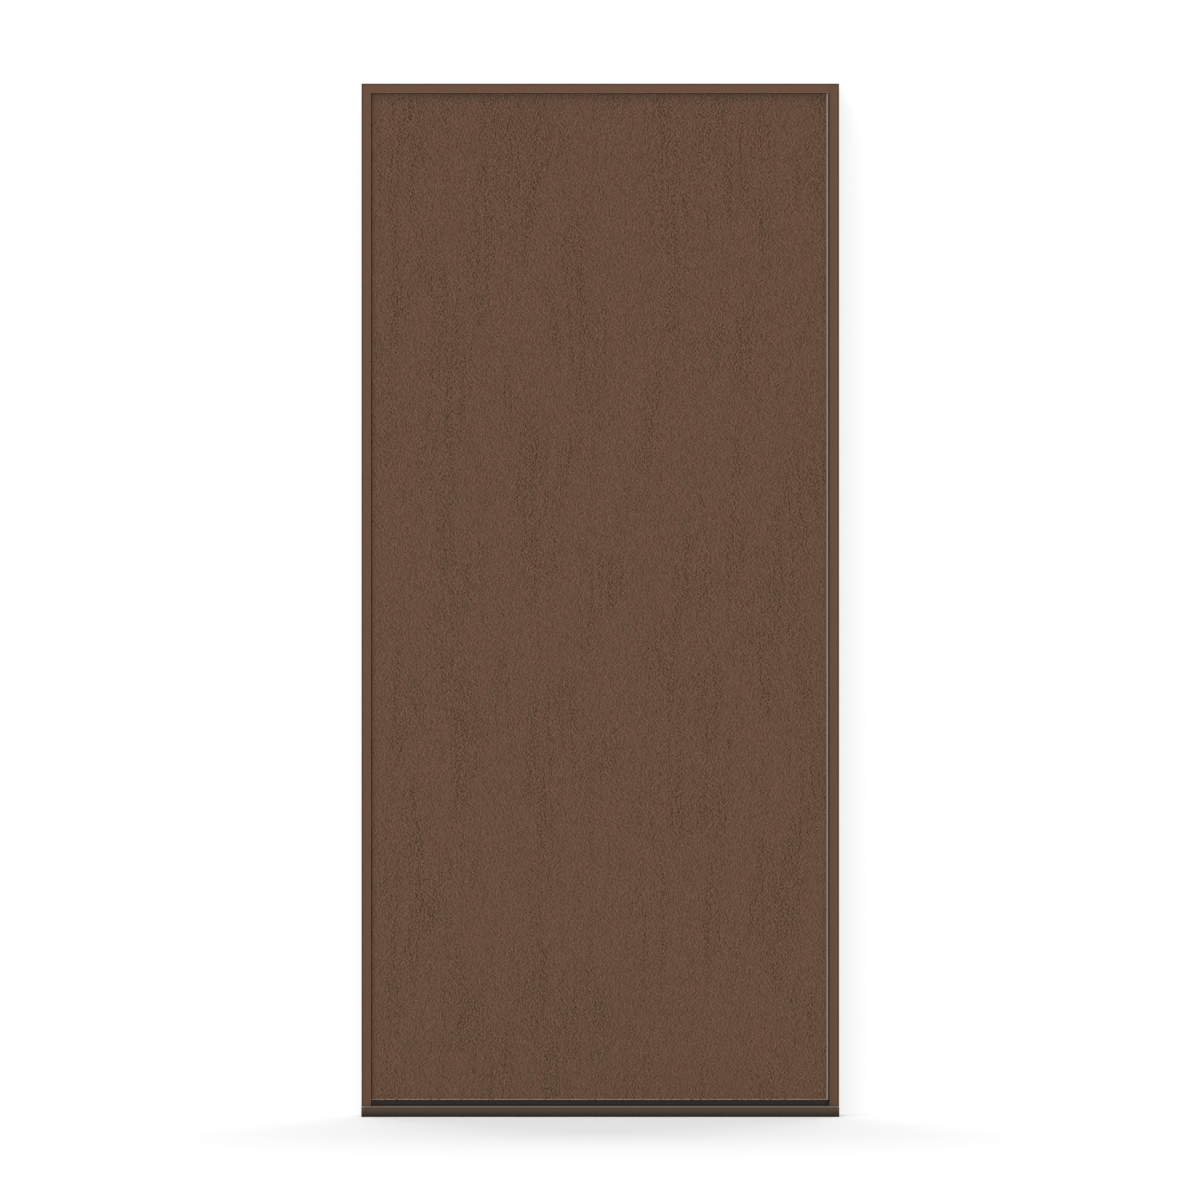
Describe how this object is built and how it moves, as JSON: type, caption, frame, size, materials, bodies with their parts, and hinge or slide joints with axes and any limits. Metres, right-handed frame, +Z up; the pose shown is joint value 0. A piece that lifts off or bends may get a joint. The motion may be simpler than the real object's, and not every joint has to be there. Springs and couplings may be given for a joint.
{
  "type": "outswing fiberglass entrance door unit",
  "caption": "Prehung flush entrance door: wood-grained fiberglass leaf on a full-height hinge in a rabbeted frame with a low sill.",
  "frame": {"origin": "on the sill's underside, midway between the jambs, in the plane of the jambs' outside faces", "axes": "+X to the right as seen from outside, +Y from outside to inside, +Z up"},
  "size_m": [0.9524, 0.1459, 2.06],
  "materials": {
    "frame_finish": "satin brown finish on timber",
    "grained_fiberglass": "satin brown stain on embossed wood grain",
    "bare_timber": "planed",
    "composite": "matte",
    "rigid_foam": "matte",
    "bronze_anodising": "satin dark bronze",
    "black_vinyl": "matte",
    "frame_seal": "matte brown",
    "hinge_steel": "satin"
  },
  "bodies": {
    "frame": {"hinge_jamb": "frame_finish", "lock_jamb": "frame_finish", "head_jamb": "frame_finish", "hinge_side_seal": "frame_seal", "lock_side_seal": "frame_seal", "head_seal": "frame_seal", "hinge_corner_pad": "frame_seal", "lock_corner_pad": "frame_seal", "sill_deck": "bronze_anodising", "sill_thermal_break": "black_vinyl", "sill_tread": "bronze_anodising", "sill_bulb": "black_vinyl", "sill_substrate": "composite", "hinge_plate_jamb": "hinge_steel", "hinge_pin": "hinge_steel"},
    "door_leaf": {"outside_skin": "grained_fiberglass", "inside_skin": "grained_fiberglass", "hinge_stile": "bare_timber", "lock_stile": "bare_timber", "top_rail": "composite", "bottom_rail": "composite", "foam_core": "rigid_foam", "door_sweep": "black_vinyl", "hinge_plate_leaf": "hinge_steel"}
  },
  "joints": [
    {"name": "hinge", "type": "hinge", "parent": "frame", "child": "door_leaf", "pos_m": [0.45403, 0, 1.035], "axis": [0, 0, 1], "range_deg": [0, 180]}
  ]
}
